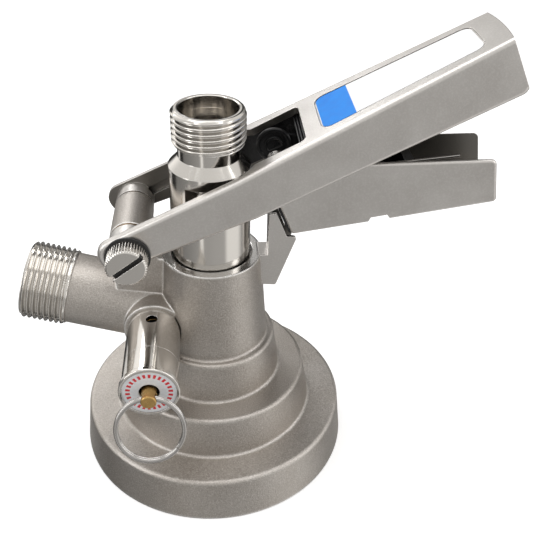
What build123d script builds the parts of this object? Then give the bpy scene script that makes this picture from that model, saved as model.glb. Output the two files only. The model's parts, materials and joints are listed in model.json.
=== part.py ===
from build123d import *
import math
import os

# Keg coupler of the slide-on kind, in millimetres. +Z is up along the probe, and the origin is on
# the probe's axis in the plane of the base's underside. The handle's grip points to +X, the relief
# valve to -Y, the gas inlet to -X, and the base slides onto the keg neck through its open +Y side.
# The handle stands raised, with the probe lifted and the keg valve shut.

# ---- driving sizes: body casting ----
SKIRT_FOOT_R = 47.8         # skirt's radius at the underside
SKIRT_TOP_R = 46.0
SKIRT_H = 15.6
STEP1_FOOT_R = 34.7
STEP1_TOP_R = 32.3
STEP1_H = 30.0
STEP2_FOOT_R = 23.3
STEP2_TOP_R = 21.4
STEP2_H = 44.6
COLUMN_FOOT_R = 18.8
COLUMN_TOP_R = 16.43
RIM_Z = 77.3                # top of the column
RIM_MOUTH_R = 13.4          # wider mouth above the guide bore
RIM_MOUTH_DEPTH = 3.2
CAST_EDGE_R = 1.3           # rounding of the steps' top edges
CAST_ROOT_R = 0.9           # fillet at the steps' feet

# ---- keg neck slot in the base ----
NECK_R = 30.5               # half the gap between the lips that hook under the keg's flange
FLANGE_SLOT_R = 35.4        # half the width of the slot that the keg's flange slides into
LIP_T = 4.6
FLANGE_SLOT_H = 6.9
WALL_RISE = 0.4             # how far the base's wall reaches up outside the slot's roof
SEAL_SEAT_R = 17.5
SEAL_SEAT_DEPTH = 6.5
SEAL_PROUD = 1.2            # how far the seal stands out of its seat
SEAL_BORE_R = 10.6

# ---- probe ----
PROBE_R = 12.78
PROBE_FIT = 0.07            # radial running clearance in the guide bore
PROBE_FOOT_Z = 62.0
COLLAR_Z = 109.2            # foot of the collar's chamfer
NECK_OUTLET_R = 9.75        # relief behind the outlet thread
OUTLET_R = 11.455           # outlet thread, major radius
OUTLET_THREAD_L = 11.5
OUTLET_TOP_Z = 127.4
OUTLET_BORE_R = 9.3
FLAT_Y = 10.3               # distance of the milled side flats from the axis
FLAT_TOP_Z = 105.6
STEM_R = 8.0
STEM_BORE_R = 5.0
STEM_TIP_Z = 13.0
STEM_SPIGOT_R = 9.0         # spigot of the stem inside the probe's foot
STEM_SPIGOT_L = 9.0
PROBE_SEAL_R = 9.7
PROBE_SEAL_H = 3.6
PROBE_SEAL_GROOVE_R = 6.6
ORING_GROOVE_R = 10.9
ORING_GROOVE_H = 2.6
ORING_Z = (65.4, 70.2)      # grooves' middles, handle raised
BALL_R = 6.35
BALL_SEAT_Z = 106.6         # where the outlet bore starts to close onto the ball's seat
RETAINER_INNER_R = 5.6
RETAINER_H = 1.0
RETAINER_Z = 114.6

# ---- hinge ----
HINGE_X = -25.18
HINGE_Z = 87.8
TILT = 27.3                 # handle's angle above level at rest
KNUCKLE_R = 6.4
KNUCKLE_HALF = 9.8
BUSH_R = 4.6
BUSH_FLANGE_R = 6.2
BUSH_FLANGE_T = 0.6
SHANK_R = 3.0
PIN_FIT = 0.05              # radial clearance of a pin in its bore
SCREW_HEAD_R = 6.32
SCREW_HEAD_L = 6.0
SCREW_SLOT_W = 1.6
SCREW_SLOT_DEPTH = 1.6
SCREW_SLOT_ANGLE = 37.0
WASHER_R = 6.9
WASHER_T = 0.6
WEB_HALF = 5.3              # half thickness of the cast web that carries the knuckle

# ---- handle ----
ARM_BACK = 8.6              # how far the arms reach behind the hinge
HANDLE_L = 126.4
BEND_U = 40.0               # where the arms run into the channel
HALF_W = (19.2, 18.2, 12.7)     # outer half width at the hinge, the bend and the tip
TOP_N = (7.0, 6.2, 7.1)         # top face above the hinge line at the same three places
BOTTOM_N = (-4.1, -7.7, -10.4)  # lower edge at the same three places
HANDLE_WALL = 2.7
TOP_PLATE_T = 2.3
ARM_END_R = 5.0
TIP_LOWER_R = 3.0
TIP_BULGE = 0.9
TOP_EDGE_R = 1.5
COLLAR_ARC_U = 34.1         # centre of the arc that clears the probe's collar
COLLAR_ARC_R = 17.3
WINDOW_END_U = 63.1
WINDOW_HALF = 12.2
WINDOW_CORNER_R = 2.2
BOSS_R = 6.3
SIDE_GAP = 0.3              # gap beside parts that turn past each other
LABEL_U0 = 68.8
LABEL_U1 = 118.7
LABEL_HALF0 = 10.9
LABEL_HALF1 = 8.4
LABEL_CORNER_R = 3.0
LABEL_RECESS = 0.5
LABEL_T = 0.4
LABEL_GAP = 0.5

# ---- probe drive ----
TRUNNION_R = 1.2
TRUNNION_FLANGE_R = 4.6
TRUNNION_FLANGE_T = 1.1
TRUNNION_N = 0.12           # trunnion's height above the hinge line at rest
GROOVE_N = 0.25             # middle of the handle's groove above the hinge line
GROOVE_HALF = 1.55
GROOVE_DEPTH = 1.3
GROOVE_U0 = 2.0
GROOVE_U1 = 34.0
TRUNNION_ENTRY = 0.75       # how far the trunnion reaches into the groove

# ---- trigger ----
PIVOT_U = 51.4              # trigger's pivot along the handle from the hinge
PIVOT_N = 0.3
TRIGGER_HALF = 10.3
TRIGGER_SHEET = 1.0
TRIGGER_EAR_R = 4.0
TRIGGER_WEB_X = 28.2        # where the trigger's floor starts
TRIGGER_PIN_R = 1.9
TRIGGER_PIN_REST = 1.1      # wall left outside the pin's blind end
TRIGGER_TIP_TOP_R = 2.0
TRIGGER_TIP_LOW_R = 1.3
TRIGGER_CORNER = (25.4, 88.9)   # x and z of the lower edge's corners, from the front to the tail
NOTCH_FRONT = (49.0, 92.8)
NOTCH_ROOF_0 = (49.9, 94.7)
NOTCH_ROOF_1 = (54.9, 95.6)
NOTCH_BACK = (56.2, 94.0)
TAIL_LOW = (89.2, 99.6)
TAIL_TOP = (86.6, 114.0)
TRIGGER_FLOOR = ((49.2, 95.7), (55.2, 96.6), (95.0, 102.5))     # the floor's upper face
HOOK_HALF = 2.6             # the core's hook, which passes between the catch's cheeks
HOOK_OUTLINE = ((25.2, 85.0), (26.6, 85.0), (27.9, 87.5), (27.9, 92.6), (34.0, 94.2),
                (34.0, 99.5), (21.0, 99.5), (21.6, 93.5))
CORE_T = 1.3                # thickness of the core's ears
CORE_GAP = 0.05
CORE_END_X = 64.0
SPACER_R = 2.9
D_BOSS_R = 2.8
SPRING_WIRE_R = 0.5
SPRING_COIL_R = 2.6
SPRING_TURNS = 4
SPRING_BOSS_R = 1.9
SPRING_BOSS_L = 4.6
SPRING_BEND = (43.7, 108.8)     # x and z of the leg's bend and its end
SPRING_END = (76.9, 112.7)

# ---- catch bracket on the body ----
CATCH_HALF = 4.1
CATCH_T = 1.2
CATCH_BACK_X = 15.4         # bottom of the column's slot
CATCH_WEB_X = 18.6
CATCH_WEB_T = 0.9
CATCH_FOOT = (21.3, 65.3)   # x and z of the slope's foot, the nose, the shoulder and the crown
CATCH_NOSE = (27.8, 84.0)
CATCH_SHOULDER = (24.35, 84.45)
CATCH_CROWN = (21.0, 93.0)
CATCH_NOSE_R = 0.9
CATCH_SCREW_R = 1.4
CATCH_SCREW_HEAD_R = 2.3
CATCH_SCREW_HEAD_H = 1.6
CATCH_SCREW_L = 3.0
CATCH_SCREW_SOCKET_R = 1.25
CATCH_SCREW_Z = (68.7, 74.2)

# ---- gas inlet ----
GAS_Z = 49.5                # where the inlet's axis crosses the probe's axis
GAS_YAW = 5.0
GAS_RISE = 12.7
GAS_PIPE_R = 12.12
GAS_THREAD_R = 13.22
GAS_THREAD_L = 15.1
GAS_END = 64.4              # distance of the inlet's mouth from the probe's axis
GAS_BORE_R = 9.4
GAS_BORE_L = 44.0
GAS_PORT_R = 3.2
VALVE_FLANGE_T = 2.0
VALVE_BODY_R = 6.0
VALVE_L = 13.0
VALVE_DEPTH = 12.0          # depth of the check valve's flange inside the mouth
RETAINER_RING_T = 2.5
RETAINER_RING_BORE_R = 6.6

# ---- relief valve ----
RELIEF_X = -19.7
RELIEF_Z = 53.84
RELIEF_BOSS_R = 9.9
RELIEF_BOSS_END = 12.4      # boss's face, measured towards -Y
RELIEF_R = 8.8
RELIEF_SEAM = 31.0
RELIEF_END = 42.5
RELIEF_RIM_R = 9.39
RELIEF_RIM_T = 1.6
RELIEF_BORE_R = 7.0
RELIEF_SPIGOT_R = 6.6
RELIEF_SPIGOT_L = 7.0
RELIEF_SEAT_R = 3.0
VENT_R = 1.9
VENT_Y = 17.6
FACE_DISC_R = 8.3
FACE_DISC_T = 0.6
FACE_HOLE_R = 3.2
PULL_STEM_R = 2.4
PULL_STEM_END = 46.8
PULL_ROD_R = 1.5
PULL_PLATE_R = 5.6
PULL_SEAL_T = 1.6
PULL_TRAVEL = 2.5
RING_HOLE_Y = 44.7
RING_HOLE_R = 1.4
RING_MEAN_R = 10.3
RING_WIRE_R = 0.9
RING_LEAN = 19.5            # ring's lean out of the vertical as it hangs

# ---- derived places ----
SLOT_ROOF_Z = LIP_T + FLANGE_SLOT_H
SEAT_ROOF_Z = SLOT_ROOF_Z + SEAL_SEAT_DEPTH
GUIDE_R = PROBE_R + PROBE_FIT
THREAD_FOOT_Z = OUTLET_TOP_Z - OUTLET_THREAD_L
COS_T = math.cos(math.radians(TILT))
SIN_T = math.sin(math.radians(TILT))
TRUNNION_U = (-HINGE_X + TRUNNION_N * SIN_T) / COS_T
TRUNNION_Z = HINGE_Z + TRUNNION_U * SIN_T + TRUNNION_N * COS_T
PIVOT_X = HINGE_X + PIVOT_U * COS_T - PIVOT_N * SIN_T
PIVOT_Z = HINGE_Z + PIVOT_U * SIN_T + PIVOT_N * COS_T
BUSH_FACE_Y = KNUCKLE_HALF + BUSH_FLANGE_T
BOSS_FACE_Y = BUSH_FACE_Y + SIDE_GAP
BIG = 200.0


def along_handle(u, at):
    """Value at u, in two straight runs through those at the hinge, the bend and the tip."""
    hinge, bend, tip = at
    if u < BEND_U:
        return hinge + (bend - hinge) * u / BEND_U
    return bend + (tip - bend) * (u - BEND_U) / (HANDLE_L - BEND_U)


def half_width(u):
    """Outer half width of the handle at a distance u from the hinge."""
    return along_handle(u, HALF_W)


def top_n(u):
    """Height of the handle's top face above the hinge line."""
    return along_handle(u, TOP_N)


def bottom_n(u):
    """Height of the handle's lower edge against the hinge line."""
    return along_handle(u, BOTTOM_N)


def on_handle(shape):
    """Takes a shape from the handle's own frame (x along it, z across it) to its place."""
    return Pos(HINGE_X, 0, HINGE_Z) * Rot(0, -TILT, 0) * shape


def rod_z(radius, low, high, x=0.0, y=0.0):
    """Upright cylinder between two heights."""
    return Pos(x, y, (low + high) / 2) * Cylinder(radius, high - low)


def rod_y(radius, near, far, x, z):
    """Cylinder along Y between two places."""
    return Pos(x, (near + far) / 2, z) * Rot(90, 0, 0) * Cylinder(radius, far - near)


def rod_x(radius, left, right, y, z):
    """Cylinder along X between two places."""
    return Pos((left + right) / 2, y, z) * Rot(0, 90, 0) * Cylinder(radius, right - left)


def block(x0, x1, y0, y1, z0, z1):
    """Box between two corners."""
    return Pos((x0 + x1) / 2, (y0 + y1) / 2, (z0 + z1) / 2) * Box(x1 - x0, y1 - y0, z1 - z0)


def side_plate(outline, y0, y1):
    """Plate between two Y places from a face drawn with x and z as its two directions."""
    return Pos(0, y1, 0) * extrude(Plane.XZ * outline, y1 - y0)


def polygon(*points):
    """Closed face through points."""
    return make_face(Polyline(*points, close=True))


def along_gas(shape):
    """Takes a shape from the inlet's own frame (z outwards along the pipe) to its place."""
    return Pos(0, 0, GAS_Z) * Rot(0, 0, -GAS_YAW) * Rot(0, GAS_RISE - 90, 0) * shape


# ---- body ----

def stepped_body():
    """Turned outer form of the casting: skirt, two steps and the tapered column."""
    profile = Polyline(
        (0, 0), (SKIRT_FOOT_R, 0), (SKIRT_TOP_R, SKIRT_H), (STEP1_FOOT_R, SKIRT_H),
        (STEP1_TOP_R, STEP1_H), (STEP2_FOOT_R, STEP1_H), (STEP2_TOP_R, STEP2_H),
        (COLUMN_FOOT_R, STEP2_H), (COLUMN_TOP_R, RIM_Z), (0, RIM_Z), close=True)
    face = make_face(Plane.XZ * profile)
    crests = [SKIRT_H, STEP1_H, STEP2_H]
    crest_r = [SKIRT_TOP_R, STEP1_TOP_R, STEP2_TOP_R]
    root_r = [STEP1_FOOT_R, STEP2_FOOT_R, COLUMN_FOOT_R]
    for height, outer, inner in zip(crests, crest_r, root_r):
        at_height = [v for v in face.vertices() if abs(v.Z - height) < 0.01]
        face = fillet([v for v in at_height if abs(v.X - outer) < 0.01], CAST_EDGE_R)
        at_height = [v for v in face.vertices() if abs(v.Z - height) < 0.01]
        face = fillet([v for v in at_height if abs(v.X - inner) < 0.01], CAST_ROOT_R)
    return revolve(face, Axis.Z)


def hinge_web():
    """Cast web and knuckle that carry the handle's hinge."""
    outline = polygon(
        (HINGE_X - KNUCKLE_R, HINGE_Z), (HINGE_X - KNUCKLE_R, GAS_Z + 8),
        (0, GAS_Z + 8), (0, RIM_Z), (HINGE_X + KNUCKLE_R + 1.5, RIM_Z),
        (HINGE_X + KNUCKLE_R, HINGE_Z))
    web = side_plate(outline, -WEB_HALF, WEB_HALF)
    knuckle = rod_y(KNUCKLE_R, -KNUCKLE_HALF, KNUCKLE_HALF, HINGE_X, HINGE_Z)
    return web + knuckle


def open_slot(radius, low, high):
    """Round-ended slot through the base, open towards +Y."""
    return rod_z(radius, low, high) + block(-radius, radius, 0, BIG, low, high)


def keg_slot():
    """Space for the keg's neck and flange."""
    neck = open_slot(NECK_R, -1, LIP_T + 0.01)
    return neck + open_slot(FLANGE_SLOT_R, LIP_T, SLOT_ROOF_Z)


def body_casting():
    """Whole cast body with its inlet pipe, relief boss, hinge web and the catch's slot."""
    pipe = along_gas(rod_z(GAS_PIPE_R, 0, GAS_END - GAS_THREAD_L))
    thread = along_gas(rod_z(GAS_THREAD_R, GAS_END - GAS_THREAD_L, GAS_END))
    thread = chamfer(thread.edges().sort_by(Axis.X)[0], 1.0)
    boss = rod_y(RELIEF_BOSS_R, -RELIEF_BOSS_END, 0, RELIEF_X, RELIEF_Z)
    body = stepped_body() + hinge_web() + pipe + thread + boss
    bores = rod_z(GUIDE_R, SEAT_ROOF_Z - 1, RIM_Z + 1)
    bores += rod_z(RIM_MOUTH_R, RIM_Z - RIM_MOUTH_DEPTH, RIM_Z + 20)
    bores += rod_z(SEAL_SEAT_R, SLOT_ROOF_Z - 1, SEAT_ROOF_Z)
    bores += along_gas(rod_z(GAS_BORE_R, GAS_END - GAS_BORE_L, GAS_END + 1))
    bores += along_gas(rod_z(GAS_PORT_R, PROBE_R - 2, GAS_END))
    bores += rod_y(RELIEF_SPIGOT_R + PIN_FIT, -RELIEF_BOSS_END - 1, 0, RELIEF_X, RELIEF_Z)
    bores += rod_y(RELIEF_R + 0.2, -RELIEF_END, -RELIEF_BOSS_END, RELIEF_X, RELIEF_Z)
    bores += rod_y(BUSH_R, -BIG / 4, BIG / 4, HINGE_X, HINGE_Z)
    wall = CATCH_HALF + PIN_FIT
    bores += block(CATCH_BACK_X, COLUMN_FOOT_R + 5, -wall, wall, CATCH_FOOT[1] + 0.25,
                   RIM_Z + 1)
    bolt_end = CATCH_WEB_X - CATCH_SCREW_HEAD_H - CATCH_SCREW_L
    for z in CATCH_SCREW_Z:
        bores += rod_x(CATCH_SCREW_R, bolt_end - 0.1, CATCH_BACK_X + 1, 0, z)
    return body - bores - keg_slot()


def body_seal():
    """Rubber ring that seals the coupler to the keg valve."""
    low = SLOT_ROOF_Z - SEAL_PROUD
    seal = rod_z(SEAL_SEAT_R - 0.1, low, SEAT_ROOF_Z) - rod_z(SEAL_BORE_R, low - 1, SEAT_ROOF_Z + 1)
    return fillet(seal.edges().group_by(Axis.Z)[0], 0.6)


# ---- gas check valve ----

def gas_check_valve():
    """Rubber duckbill valve: a flange, a sleeve and two lips that meet."""
    seat = GAS_END - VALVE_DEPTH
    flange = rod_z(GAS_BORE_R - 0.1, seat - VALVE_FLANGE_T, seat)
    sleeve = rod_z(VALVE_BODY_R, seat - VALVE_FLANGE_T - 3, seat - VALVE_FLANGE_T)
    lips_top = Plane.XY.offset(seat - VALVE_FLANGE_T - 3)
    lips_end = Plane.XY.offset(seat - VALVE_L)
    lips = loft([lips_top * Circle(VALVE_BODY_R), lips_end * Rectangle(2 * VALVE_BODY_R - 1, 1.6)])
    hollow = rod_z(VALVE_BODY_R - 1.4, seat - VALVE_FLANGE_T - 3, seat + 1)
    slit = Pos(0, 0, seat - VALVE_L / 2) * Box(VALVE_BODY_R * 1.4, 0.4, VALVE_L + 2)
    return along_gas(flange + sleeve + lips - hollow - slit)


def valve_retainer():
    """Ring that holds the check valve in the inlet's bore."""
    low = GAS_END - VALVE_DEPTH
    ring = rod_z(GAS_BORE_R - 0.05, low, low + RETAINER_RING_T)
    return along_gas(ring - rod_z(RETAINER_RING_BORE_R, low - 1, low + RETAINER_RING_T + 1))


# ---- catch bracket ----

def catch_outline():
    """Side outline of a catch cheek: a shoulder above, a sloping face below its nose."""
    face = polygon(
        (CATCH_BACK_X, CATCH_FOOT[1] + 0.5), CATCH_FOOT, CATCH_NOSE, CATCH_SHOULDER, CATCH_CROWN,
        (CATCH_WEB_X, CATCH_CROWN[1] - 0.4), (CATCH_WEB_X, RIM_Z), (CATCH_BACK_X, RIM_Z))
    tips = [v for v in face.vertices() if v.X >= CATCH_FOOT[0] and v.Y < CATCH_SHOULDER[1]]
    return fillet(tips, CATCH_NOSE_R)


def catch_bracket():
    """Safety catch in the column's slot: two cheeks joined by a back plate and a web."""
    outline = catch_outline()
    inner = CATCH_HALF - CATCH_T
    near = side_plate(outline, -CATCH_HALF, -inner)
    far = side_plate(outline, inner, CATCH_HALF)
    plate = block(CATCH_BACK_X, CATCH_WEB_X, -inner, inner, CATCH_FOOT[1] + 0.5, RIM_Z)
    web = block(CATCH_WEB_X, CATCH_WEB_X + CATCH_WEB_T, -inner, inner,
                RIM_Z - 1, CATCH_CROWN[1] - 1)
    bracket = near + far + plate + web
    seat = CATCH_WEB_X - CATCH_SCREW_HEAD_H
    for z in CATCH_SCREW_Z:
        bracket -= rod_x(CATCH_SCREW_R + 0.1, CATCH_BACK_X - 1, CATCH_WEB_X, 0, z)
        bracket -= rod_x(CATCH_SCREW_HEAD_R + 0.1, seat, CATCH_WEB_X + 1, 0, z)
    return bracket


def catch_screws():
    """Two socket screws that hold the catch in its slot, with their heads sunk in the plate."""
    seat = CATCH_WEB_X - CATCH_SCREW_HEAD_H
    screws = []
    for z in CATCH_SCREW_Z:
        head = rod_x(CATCH_SCREW_HEAD_R, seat, CATCH_WEB_X, 0, z)
        shank = rod_x(CATCH_SCREW_R - PIN_FIT, seat - CATCH_SCREW_L, seat, 0, z)
        socket = Pos(CATCH_WEB_X, 0, z) * Rot(0, 90, 0) * extrude(
            RegularPolygon(CATCH_SCREW_SOCKET_R, 6), 1.0, both=True)
        screws.append(head + shank - socket)
    return Compound(children=screws)


# ---- hinge ----

def knuckle_bush(side):
    """Flanged bearing bush in one end of the knuckle."""
    sleeve = rod_y(BUSH_R, 1.0, KNUCKLE_HALF, HINGE_X, HINGE_Z)
    flange = rod_y(BUSH_FLANGE_R, KNUCKLE_HALF, BUSH_FACE_Y, HINGE_X, HINGE_Z)
    bore = rod_y(SHANK_R + PIN_FIT, 0, BUSH_FACE_Y + 1, HINGE_X, HINGE_Z)
    bush = sleeve + flange - bore
    return bush if side > 0 else mirror(bush, Plane.XZ)


def pivot_screw():
    """Hinge screw: knurled slotted head and a shank through both arms."""
    seat = -half_width(0) - WASHER_T
    head = rod_y(SCREW_HEAD_R, seat - SCREW_HEAD_L, seat, HINGE_X, HINGE_Z)
    head = chamfer(head.edges().sort_by(Axis.Y)[0], 0.4)
    shank = rod_y(SHANK_R, seat, half_width(0) - 0.2, HINGE_X, HINGE_Z)
    slot = Box(3 * SCREW_HEAD_R, 2 * SCREW_SLOT_DEPTH, SCREW_SLOT_W)
    slot = Pos(HINGE_X, seat - SCREW_HEAD_L, HINGE_Z) * Rot(0, -SCREW_SLOT_ANGLE, 0) * slot
    return head + shank - slot


def head_washer():
    """Washer between the screw's head and the arm."""
    face = -half_width(0)
    washer = rod_y(WASHER_R, face - WASHER_T, face, HINGE_X, HINGE_Z)
    return washer - rod_y(SHANK_R + PIN_FIT, face - 2, face + 1, HINGE_X, HINGE_Z)


# ---- handle ----

def handle_plan(inset, u0, u1, bulge):
    """Plan outline of the handle, drawn in by an inset on its sides."""
    w0 = half_width(u0) - inset
    wb = half_width(BEND_U) - inset
    w1 = half_width(u1) - inset
    sides = Polyline((u1, -w1), (BEND_U, -wb), (u0, -w0), (u0, w0), (BEND_U, wb), (u1, w1))
    tip = ThreePointArc((u1, w1), (u1 + bulge, 0), (u1, -w1))
    return make_face(Curve() + [sides, tip])


def handle_shell():
    """Tapered inverted channel with a closed tip."""
    u1 = HANDLE_L - TIP_BULGE
    places = (-ARM_BACK, BEND_U, HANDLE_L)
    side = polygon(*[(u, bottom_n(u)) for u in places], *[(u, top_n(u)) for u in reversed(places)])
    side = fillet(side.vertices().group_by(Axis.X)[0], ARM_END_R)
    corner = side.vertices().group_by(Axis.X)[-1].sort_by(Axis.Y)[0]
    side = fillet(corner, TIP_LOWER_R)
    plan = extrude(handle_plan(0, -ARM_BACK, u1, TIP_BULGE), BIG / 4, both=True)
    outer = side_plate(side, -BIG / 4, BIG / 4) & plan
    long_edges = [e for e in outer.edges() if e.length > BEND_U - 1 and e.center().Z > 0]
    outer = fillet(long_edges, TOP_EDGE_R)
    inside = extrude(handle_plan(HANDLE_WALL, -ARM_BACK - 1, u1 - HANDLE_WALL, TIP_BULGE),
                     BIG / 4, both=True)
    roof = polygon((-BIG / 4, -BIG / 4), (BIG, -BIG / 4), (BIG, top_n(BIG) - TOP_PLATE_T),
                   (BEND_U, top_n(BEND_U) - TOP_PLATE_T), (-BIG / 4, top_n(-BIG / 4) - TOP_PLATE_T))
    return outer - (side_plate(roof, -BIG / 4, BIG / 4) & inside)


def handle_openings():
    """Openings in the top: clear of the probe's collar, then a window over the trigger's pivot."""
    inside = extrude(handle_plan(HANDLE_WALL, -ARM_BACK - 1, WINDOW_END_U, 0.01), BIG / 8, both=True)
    free = Pos(COLLAR_ARC_U, 0, 0) * Cylinder(COLLAR_ARC_R, BIG / 4)
    free += block(-ARM_BACK - 2, COLLAR_ARC_U, -BIG / 4, BIG / 4, -BIG / 8, BIG / 8)
    window = Pos((COLLAR_ARC_U + WINDOW_END_U) / 2, 0) * Rectangle(
        WINDOW_END_U - COLLAR_ARC_U, 2 * WINDOW_HALF)
    window = fillet(window.vertices().group_by(Axis.X)[-1], WINDOW_CORNER_R)
    return (free & inside) + extrude(window, BIG / 8, both=True)


def label_face(extra):
    """Rounded, slightly tapered outline of the label on the handle's top."""
    face = polygon((LABEL_U0 - extra, -LABEL_HALF0 - extra), (LABEL_U1 + extra, -LABEL_HALF1 - extra),
                   (LABEL_U1 + extra, LABEL_HALF1 + extra), (LABEL_U0 - extra, LABEL_HALF0 + extra))
    return fillet(face.vertices(), LABEL_CORNER_R + extra)


def label_slab(extra, low, high):
    """Slab over the label's outline between two heights against the top face."""
    rise = math.degrees(math.atan2(TOP_N[2] - TOP_N[1], HANDLE_L - BEND_U))
    slab = Pos(-BEND_U, 0, low) * extrude(label_face(extra), high - low)
    return Pos(BEND_U, 0, top_n(BEND_U)) * Rot(0, -rise, 0) * slab


def groove(side):
    """Blind groove for a trunnion on the inner face of one wall."""
    lean = math.degrees(math.atan2(HALF_W[0] - HALF_W[1], BEND_U))
    slot = Pos((GROOVE_U0 + GROOVE_U1) / 2, 0, GROOVE_N) * Box(
        GROOVE_U1 - GROOVE_U0, 2 * GROOVE_DEPTH, 2 * GROOVE_HALF)
    slot = Pos(0, half_width(0) - HANDLE_WALL, 0) * Rot(0, 0, -lean) * slot
    return slot if side > 0 else mirror(slot, Plane.XZ)


def handle():
    """Operating handle: two arms with hinge bosses, joined by a channel over the trigger."""
    shell = handle_shell() - handle_openings()
    inner = half_width(0) - HANDLE_WALL
    for side in (-1, 1):
        boss = rod_y(BOSS_R, BOSS_FACE_Y, inner + 1, 0, 0)
        shell += boss if side > 0 else mirror(boss, Plane.XZ)
        shell -= groove(side)
    shell -= rod_y(SHANK_R + PIN_FIT, -BIG / 4, BIG / 4, 0, 0)
    shell -= rod_y(WASHER_R + 0.2, -BIG / 4, -half_width(0), 0, 0)
    near_end = TRIGGER_PIN_REST - half_width(PIVOT_U)
    shell -= rod_y(TRIGGER_PIN_R + PIN_FIT, near_end, 0, PIVOT_U, PIVOT_N)
    shell -= rod_y(TRIGGER_PIN_R + PIN_FIT, 0, -near_end, PIVOT_U, PIVOT_N)
    shell -= label_slab(LABEL_GAP, -LABEL_RECESS, 3)
    return on_handle(shell)


def handle_label():
    """Thin plate set into the handle's top."""
    return on_handle(label_slab(0, -LABEL_RECESS, LABEL_T - LABEL_RECESS))


# ---- trigger ----

def trigger_outline():
    """Side outline of the trigger, with the ear round its pivot and a notch in its lower edge."""
    face = polygon(
        TRIGGER_CORNER, NOTCH_FRONT, NOTCH_ROOF_0, NOTCH_ROOF_1, NOTCH_BACK, TAIL_LOW, TAIL_TOP,
        (PIVOT_X + TRIGGER_EAR_R, PIVOT_Z + 1.3), (PIVOT_X, PIVOT_Z + TRIGGER_EAR_R),
        (PIVOT_X - TRIGGER_EAR_R, PIVOT_Z - 1.2))
    face = fillet([v for v in face.vertices() if v.X == TAIL_TOP[0]], TRIGGER_TIP_TOP_R)
    face = fillet([v for v in face.vertices() if v.X == TAIL_LOW[0]], TRIGGER_TIP_LOW_R)
    face = fillet([v for v in face.vertices() if v.X == TRIGGER_CORNER[0]], 0.8)
    return face + Pos(PIVOT_X, PIVOT_Z) * Circle(TRIGGER_EAR_R)


def trigger():
    """Sheet trigger: two cheeks and a floor, open at the top."""
    inner = TRIGGER_HALF - TRIGGER_SHEET
    shell = side_plate(trigger_outline(), -TRIGGER_HALF, TRIGGER_HALF)
    under = [e for e in shell.edges().filter_by(GeomType.LINE)
             if e.length > 20 and abs(e.center().Y) > inner and e.center().Z < 99]
    shell = fillet(under, TRIGGER_SHEET)
    rise = (NOTCH_FRONT[1] - TRIGGER_CORNER[1]) / (NOTCH_FRONT[0] - TRIGGER_CORNER[0])
    front = TRIGGER_CORNER[1] + rise * (TRIGGER_WEB_X - TRIGGER_CORNER[0]) + TRIGGER_SHEET
    step = NOTCH_FRONT[0] - 2 * TRIGGER_SHEET
    hollow = polygon(
        (0, 80), (TRIGGER_WEB_X, 80), (TRIGGER_WEB_X, front),
        (step, front + rise * (step - TRIGGER_WEB_X)), *TRIGGER_FLOOR, (95, 130), (0, 130))
    shell -= side_plate(hollow, -inner, inner)
    return shell - rod_y(TRIGGER_PIN_R + PIN_FIT, -20, 20, PIVOT_X, PIVOT_Z)


def trigger_core():
    """Moulded core inside the trigger: ears, a rail, the spring's boss and the catch's hook."""
    outer = TRIGGER_HALF - TRIGGER_SHEET - CORE_GAP
    ear_end = PIVOT_X + 12
    ears = polygon((PIVOT_X, PIVOT_Z + 3.9), (ear_end + 8, 112.4), (ear_end + 8, 97),
                   (ear_end - 1.8, 97), (PIVOT_X + 3.2, PIVOT_Z - 2.6))
    ears += Pos(PIVOT_X, PIVOT_Z) * Circle(TRIGGER_EAR_R)
    near = side_plate(ears, -outer, -outer + CORE_T)
    core = near + mirror(near, Plane.XZ)
    rail = polygon((ear_end + 0.5, 94.9), (49.5, 97.8), (CORE_END_X, 99.4), (CORE_END_X, 109.6),
                   (ear_end + 0.5, 107.2))
    core += side_plate(rail, -outer, outer)
    pocket = polygon((ear_end + 4, 98.5), (CORE_END_X - 3, 102), (CORE_END_X - 3, 130),
                     (ear_end + 4, 130))
    core -= side_plate(pocket, -outer + CORE_T + 1.2, outer - CORE_T)
    core += side_plate(polygon(*HOOK_OUTLINE), -HOOK_HALF, HOOK_HALF)
    for side in (-1, 1):
        bore = rod_y(TRIGGER_PIN_R + PIN_FIT, outer - CORE_T, 20, PIVOT_X, PIVOT_Z)
        core -= bore if side > 0 else mirror(bore, Plane.XZ)
    boss = rod_y(D_BOSS_R, outer - CORE_T - 0.7, outer - CORE_T, PIVOT_X, PIVOT_Z)
    shave = Pos(PIVOT_X, outer, PIVOT_Z) * Rot(0, -TILT, 0) * Pos(0, 0, -D_BOSS_R - 1.4)
    core += boss - shave * Box(4 * D_BOSS_R, 8, 2 * D_BOSS_R)
    wall = CORE_T - outer
    return core + rod_y(SPRING_BOSS_R, wall, wall + SPRING_BOSS_L, PIVOT_X, PIVOT_Z)


def trigger_pin():
    """Two stub pins on which the trigger turns, one in each wall."""
    near = TRIGGER_HALF - TRIGGER_SHEET - CORE_GAP - CORE_T + 0.1
    far = half_width(PIVOT_U) - TRIGGER_PIN_REST - 0.1
    pin = on_handle(rod_y(TRIGGER_PIN_R, near, far, PIVOT_U, PIVOT_N))
    return Compound(children=[pin, mirror(pin, Plane.XZ)])


def trigger_spacer(side):
    """Collar on the pin that keeps the trigger in the middle of the handle."""
    wall = half_width(PIVOT_U) - HANDLE_WALL - 0.2
    ring = rod_y(SPACER_R, TRIGGER_HALF + SIDE_GAP, wall, PIVOT_U, PIVOT_N)
    ring -= rod_y(TRIGGER_PIN_R + PIN_FIT, 0, 20, PIVOT_U, PIVOT_N)
    return on_handle(ring if side > 0 else mirror(ring, Plane.XZ))


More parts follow.
